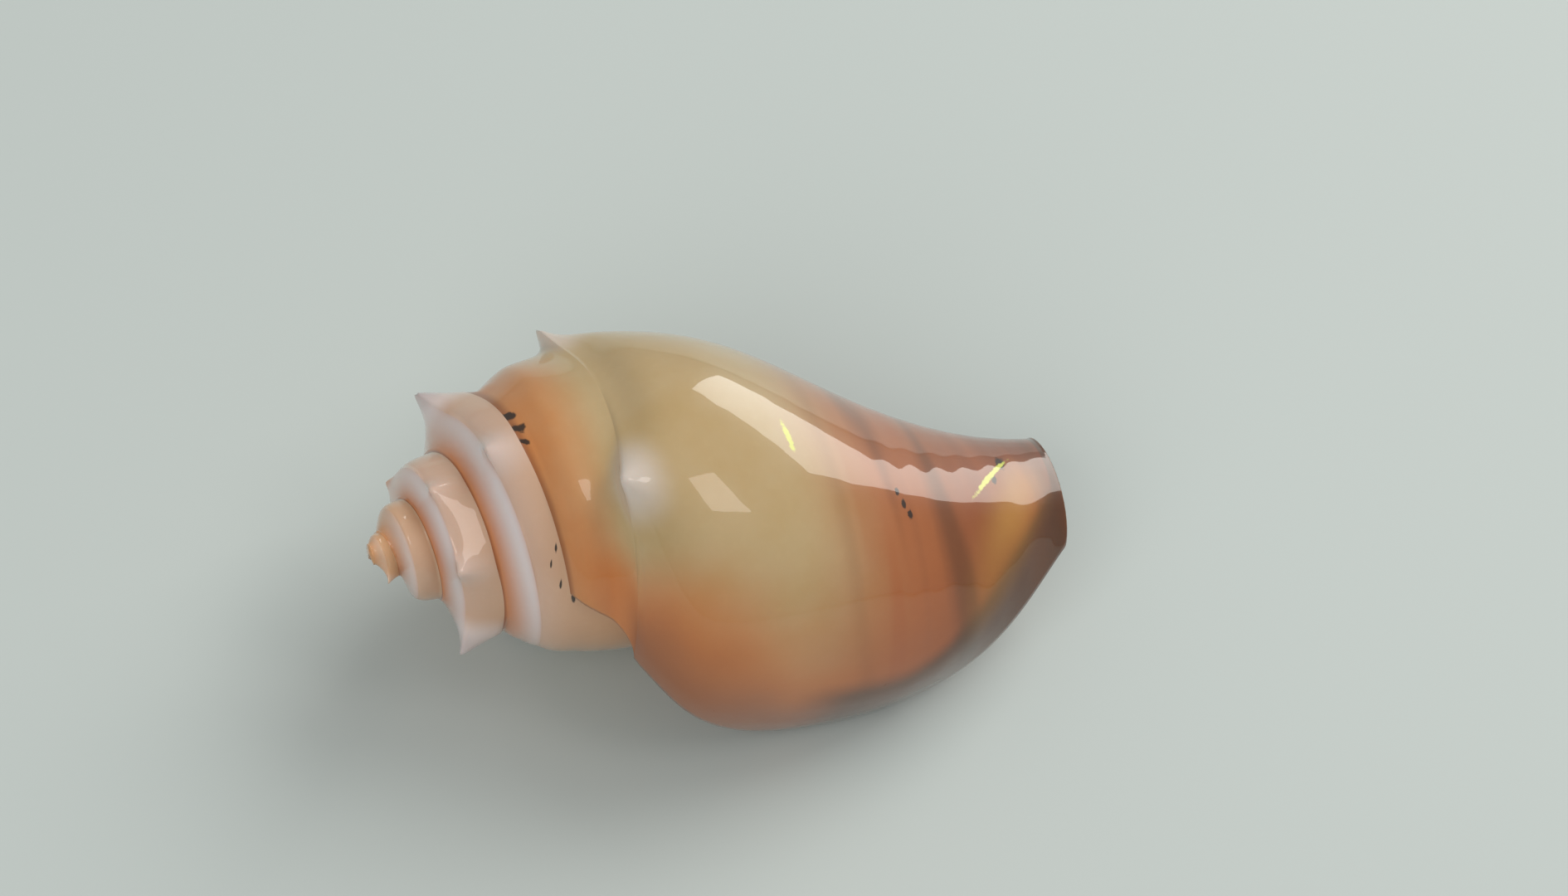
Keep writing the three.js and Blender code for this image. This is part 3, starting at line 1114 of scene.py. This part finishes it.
MARKS = (
    Mark(MarkKind.SPECK, 0.262, -0.985, 0.9, 0.45, 90.0, 9.0),
    Mark(MarkKind.SPECK, 0.236, -0.972, 0.8, 0.4, 90.0, 9.0),
    Mark(MarkKind.SPECK, 0.212, -0.978, 0.5, 0.25, 90.0, 9.0),
    Mark(MarkKind.SPECK, 1.080, 0.049, 0.5, 0.2, 100.0),
    Mark(MarkKind.SPECK, 1.083, 0.035, 0.4, 0.2, 100.0),
    Mark(MarkKind.SPECK, 1.039, 0.044, 0.5, 0.2, 100.0),
    Mark(MarkKind.SPECK, 0.994, 0.061, 0.6, 0.25, 100.0),
    Mark(MarkKind.SPECK, 0.196, 0.545, 0.45, 0.35),
    Mark(MarkKind.SPECK, 0.186, 0.552, 0.5, 0.35),
    Mark(MarkKind.SPECK, 0.176, 0.560, 0.5, 0.4),
    Mark(MarkKind.SPECK, 0.140, 0.803, 1.3, 0.8),
    Mark(MarkKind.SPECK, 0.132, 0.770, 0.7, 0.4),
    Mark(MarkKind.STREAK, 0.246, 0.338, 1.5, 0.45),
    Mark(MarkKind.STREAK, 0.138, 0.767, 0.45, 3.6),
)


@dataclass(frozen=True)
class MarkEdge:
    """How the markings end: where they fade, how torn they are, and how the streaks lean."""

    fade: Pair = (1.1, 0.6)
    strength: float = 0.92
    torn: float = 1.1
    torn_scale: float = 1500.0
    streak_lean: float = 0.35


@dataclass(frozen=True)
class ShellPaint:
    """Paints the shell from its coil map: turns back from the lip, and row."""

    finish: ShellFinish = ShellFinish()
    places: PaintMap = PaintMap()
    edge: MarkEdge = MarkEdge()

    def make(self) -> bpy.types.Material:
        """Makes the material."""
        material = bpy.data.materials.new("glossy shell")
        graph = Graph(material)
        coil = graph.node("ShaderNodeUVMap", {"uv_map": "coil"}, {})
        back = graph.node("ShaderNodeSeparateXYZ", {}, {0: coil}, output=0)
        row = graph.node("ShaderNodeSeparateXYZ", {}, {0: coil}, output=1)
        spot = graph.node("ShaderNodeTexCoord", {}, {}, output=3)
        hollow = graph.node("ShaderNodeAttribute", {"attribute_name": "hollow"}, {}, output=2)
        knob = graph.node("ShaderNodeAttribute", {"attribute_name": "knob"}, {}, output=2)
        colour = self.outside(graph, back, row, spot, knob)
        colour = self.marks(graph, colour, back, row, spot)
        colour = self.inside(graph, colour, hollow, spot)
        f = self.finish
        grain = graph.noise(spot, f.grain_scale, 3.0, 0.6)
        colour = graph.blend(colour, f.white, (grain - 0.5) * f.grain_colour, "SOFT_LIGHT")
        height = graph.noise(spot, f.pit_scale, 2.0) * f.pit_height + grain * f.grain_height
        relief = {"Strength": f.bump, "Distance": f.bump_distance, "Height": height}
        values = {
            "Base Color": colour,
            "Roughness": f.roughness + (grain - 0.5) * f.grain_roughness,
            "Normal": graph.node("ShaderNodeBump", {}, relief),
            "Coat Weight": 1.0,
            "Coat Roughness": f.coat_roughness,
            "Coat IOR": f.coat_bend,
            "Specular IOR Level": f.specular,
            "Subsurface Weight": f.glow,
            "Subsurface Radius": f.glow_radius,
            "Subsurface Scale": f.glow_depth,
        }
        surface = graph.node("ShaderNodeBsdfPrincipled", {}, values)
        graph.finish(surface)
        return material

    def share(self, patch: Patch, back: Value, row: Value) -> Value | float:
        """Strength of a patch times its fades over turns back and over rows."""
        share: Value | float = patch.strength
        for place, fade in ((back, patch.back), (row, patch.row)):
            if fade is not None:
                share = place.step(*fade) * share
        return share

    def outside(self, graph: Graph, back: Value, row: Value, spot: Value, knob: Value) -> Value:
        """Colour of the outside: cream body, orange lip and ramp, rusty front, pale ridges partly painted as
        highlight.

        Args:
            graph: where the nodes go.
            back: turns back from the lip.
            row: row across the wall.
            spot: place in space.
            knob: how near a knob.

        Returns:
            The colour.
        """
        f, m = self.finish, self.places
        cloud = graph.noise(spot, m.cloud_scale, 2.0)
        wisp = graph.noise(spot, m.wisp_scale, 3.0)
        loose = back + (cloud - 0.5) * m.loose
        swung = row + (cloud - 0.5) * m.swung
        colour = graph.blend(f.cream, f.khaki, wisp.step(*m.khaki) * m.khaki_strength)
        colour = graph.blend(colour, f.orange, self.share(m.lip, loose, row))
        colour = graph.blend(colour, f.rust, self.share(m.lip_edge, loose, row))
        colour = graph.blend(colour, f.salmon, self.share(m.front, back, swung))
        colour = graph.blend(colour, f.rust, self.share(m.front_end, back, swung))
        stretched = {0: row * m.stripes[0], 1: back * m.stripes[1]}
        stripe = graph.noise(graph.node("ShaderNodeCombineXYZ", {}, stretched), 1.0, 1.0)
        striped = self.share(m.striped, back, row)
        colour = graph.blend(colour, f.umber, stripe.step(*m.dark_stripe) * striped * m.dark_strength)
        colour = graph.blend(colour, f.salmon, stripe.step(*m.light_stripe) * striped * m.light_strength)
        colour = graph.blend(colour, f.umber, self.share(m.margin, back, row))
        ochre = loose.band(*m.ochre_back) * swung.band(*m.ochre_row)
        colour = graph.blend(colour, f.ochre, ochre * m.ochre_strength)
        colour = graph.blend(colour, f.orange, row.step(*m.ramp) * (m.ramp_even + wisp * m.ramp_wisp))
        spire = back.step(*m.spire)
        tan = graph.blend(f.orange, f.ochre, row.step(*m.tan) * m.tan_strength)
        colour = graph.blend(colour, tan, spire * m.spire_strength)
        # Painted highlight: the pale ridge is brightest on the side of each turn that faces the camera, and
        # dimmer on the far side.
        painted_highlight = graph.math("COSINE", (back - m.highlight_side) * TAU, 0.0) * 0.5 + 0.5
        ridge = swung.band(*m.ridge) * spire * (m.ridge_least + painted_highlight * (1 - m.ridge_least))
        colour = graph.blend(colour, f.lavender, ridge * m.ridge_strength)
        colour = graph.blend(colour, f.apex, self.share(m.apex, back, row))
        colour = graph.blend(colour, f.lavender, knob.step(*m.knob) * m.knob_strength)
        colour = graph.blend(colour, f.slate, knob.step(*m.knob_tip) * m.knob_tip_strength)
        return graph.blend(colour, f.rust, self.share(m.seam, back, row))

    def marks(self, graph: Graph, colour: Value, back: Value, row: Value, spot: Value) -> Value:
        """Adds the dark specks and the two pale streaks, as ovals on the coil with torn edges.

        Args:
            graph: where the nodes go.
            colour: the colour so far.
            back: turns back from the lip.
            row: row across the wall.
            spot: place in space.

        Returns:
            The colour with the markings.
        """
        edge = self.edge
        torn = (graph.noise(spot, edge.torn_scale, 2.0) - 0.5) * edge.torn
        paints = {MarkKind.SPECK: self.finish.speck, MarkKind.STREAK: self.finish.lime}
        for mark in MARKS:
            off_turn = (back - mark.back) * (mark.turn_length / mark.along_turn)
            off_row = (row - mark.row) * (mark.row_length / mark.along_row)
            if mark.kind is MarkKind.STREAK:
                off_turn = off_turn + off_row * edge.streak_lean
            away = (off_turn * off_turn + off_row * off_row) ** 0.5
            colour = graph.blend(colour, paints[mark.kind], (away + torn).step(*edge.fade) * edge.strength)
        return colour

    def inside(self, graph: Graph, colour: Value, hollow: Value, spot: Value) -> Value:
        """Turns to the pale peach of the mouth past the lip edge, and to orange further in.

        Args:
            graph: where the nodes go.
            colour: the colour so far.
            hollow: how far into the hollow, 0 to 1.
            spot: place in space.

        Returns:
            The colour with the mouth.
        """
        f, m = self.finish, self.places
        cloud = graph.noise(spot, m.mouth_scale, 2.0)
        cloudy = m.throat_even + cloud * (1 - m.throat_even)
        mouth = graph.blend(f.inside, f.throat, hollow.step(*m.throat) * cloudy)
        return graph.blend(colour, mouth, hollow.step(*m.mouth))


@dataclass(frozen=True)
class Softbox:
    """A rectangular lamp that faces the shell, and whether it lights and is mirrored in the gloss."""

    name: str
    direction: tuple[float, float, float]
    across: tuple[float, float, float]
    distance: float
    width: float
    height: float
    power: float
    colour: Colour
    lights: bool = True
    mirrored: bool = True


@dataclass(frozen=True)
class View:
    """The camera: degrees round and above the shell, tilt of its frame, and its lens."""

    azimuth: float = -30.247
    elevation: float = 55.36
    roll: float = 10.861
    distance: float = 0.46914
    lens: float = 89.10
    shift: tuple[float, float] = (0.0437, 0.0117)
    aim: tuple[float, float, float] = (45.0, 0.0, 0.0)
    sensor: float = 36.0
    near: float = 0.01


SOFTBOXES = (
    Softbox(
        "key", (0.62, 0.28, 0.73), (-0.4, 0.9, 0.0), 1.1, 0.8, 0.8, 8.0, (1.0, 0.99, 0.96),
        mirrored=False,
    ),
    Softbox(
        "fill", (-0.6, -0.5, 0.62), (0.64, -0.77, 0.0), 1.2, 0.9, 0.9, 6.0, (1.0, 0.99, 0.97),
        mirrored=False,
    ),
    Softbox(
        "large softbox", (0.82, 0.44, 0.32), (-0.47, 0.88, 0.0), 1.0, 0.75, 0.42, 3.6,
        (1.0, 0.99, 0.93), lights=False,
    ),
    Softbox(
        "square softbox", (0.4, -0.33, 0.86), (0.88, 0.3, -0.36), 0.8, 0.24, 0.28, 0.6,
        (1.0, 0.9, 0.86),
    ),
)


@dataclass(frozen=True)
class Studio:
    """Floor, soft light and camera."""

    finish: StageFinish = StageFinish()
    view: View = View()
    lamps: tuple[Softbox, ...] = SOFTBOXES

    def floor(self, level: float) -> bpy.types.Object:
        """Makes the plain pale floor at the height that the shell lies on.

        Args:
            level: that height, in metres.

        Returns:
            The floor.
        """
        mesh = bpy.data.meshes.new("floor")
        half = self.finish.floor_reach
        corners = [(x * half, y * half, level) for x, y in ((-1, -1), (1, -1), (1, 1), (-1, 1))]
        mesh.from_pydata(corners, [], [(0, 1, 2, 3)])
        material = bpy.data.materials.new("pale floor")
        graph = Graph(material)
        values = {"Base Color": (*self.finish.floor, 1.0), "Roughness": self.finish.floor_roughness}
        surface = graph.node("ShaderNodeBsdfPrincipled", {}, values)
        graph.finish(surface)
        mesh.materials.append(material)
        floor = bpy.data.objects.new("floor", mesh)
        bpy.context.scene.collection.objects.link(floor)
        return floor

    def light(self, middle: Vector) -> None:
        """Sets the softboxes round the shell and a dim even surround.

        Args:
            middle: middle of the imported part, in metres, which the lamps face.
        """
        for lamp in self.lamps:
            data = bpy.data.lights.new(lamp.name, "AREA")
            data.shape, data.size, data.size_y = "RECTANGLE", lamp.width, lamp.height
            data.energy, data.color = lamp.power, lamp.colour
            box = bpy.data.objects.new(lamp.name, data)
            outward = Vector(lamp.direction).normalized()
            upward = outward.cross(Vector(lamp.across)).normalized()
            turn = Matrix((upward.cross(outward), upward, outward)).transposed().to_4x4()
            box.matrix_world = Matrix.Translation(middle + outward * lamp.distance) @ turn
            box.visible_glossy = lamp.mirrored
            box.visible_diffuse = lamp.lights
            bpy.context.scene.collection.objects.link(box)
            LOG.info("lamp %s", lamp.name)
        world = bpy.data.worlds.new("surround")
        world.use_nodes = True
        background = world.node_tree.nodes["Background"]
        background.inputs["Color"].default_value = (*self.finish.world, 1.0)
        background.inputs["Strength"].default_value = self.finish.world_strength
        bpy.context.scene.world = world

    def camera(self, resting: Resting, shift: Array) -> None:
        """Sets the camera at the view's angles, aimed at a point on the shell's own axis.

        Args:
            resting: how the shell lies.
            shift: from the turned shell to its packed place, in metres.
        """
        v = self.view
        azimuth, elevation, roll = np.radians([v.azimuth, v.elevation, v.roll])
        level = np.array([np.cos(azimuth), np.sin(azimuth), 0.0])
        flat = np.array([np.sin(azimuth), -np.cos(azimuth), 0.0]) * np.cos(elevation)
        back = flat + np.array([0.0, 0.0, np.sin(elevation)])
        rise = np.cross(back, level)
        right = level * np.cos(roll) + rise * np.sin(roll)
        up = np.cross(back, right)
        aim = resting.turned(np.array(v.aim)) * MILLIMETRE + shift
        data = bpy.data.cameras.new("camera")
        data.lens, data.sensor_width = v.lens, v.sensor
        data.shift_x, data.shift_y = v.shift
        data.clip_start = v.near
        camera = bpy.data.objects.new("camera", data)
        pose = np.identity(4)
        pose[:3, :3] = np.stack([right, up, back], axis=1)
        pose[:3, 3] = aim + back * v.distance
        camera.matrix_world = Matrix(pose.tolist())
        bpy.context.scene.collection.objects.link(camera)
        bpy.context.scene.camera = camera


def main() -> None:
    """Builds the shell, its finish and the studio."""
    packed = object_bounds()
    builder = ShellBuilder()
    mesh, shift = builder.build(*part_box("shell"))
    mesh.materials.append(ShellPaint().make())
    shell = bpy.data.objects.new("conch_shell", mesh)
    bpy.context.scene.collection.objects.link(shell)
    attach(shell, "root")
    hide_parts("shell")
    LOG.info("shell: %d points, %d faces", len(mesh.vertices), len(mesh.polygons))
    studio = Studio()
    studio.floor(packed[0].z)
    studio.light((packed[0] + packed[1]) / 2)
    studio.camera(builder.resting, shift)
    bpy.context.scene.view_settings.view_transform = "Standard"


if __name__ == "__main__":
    main()
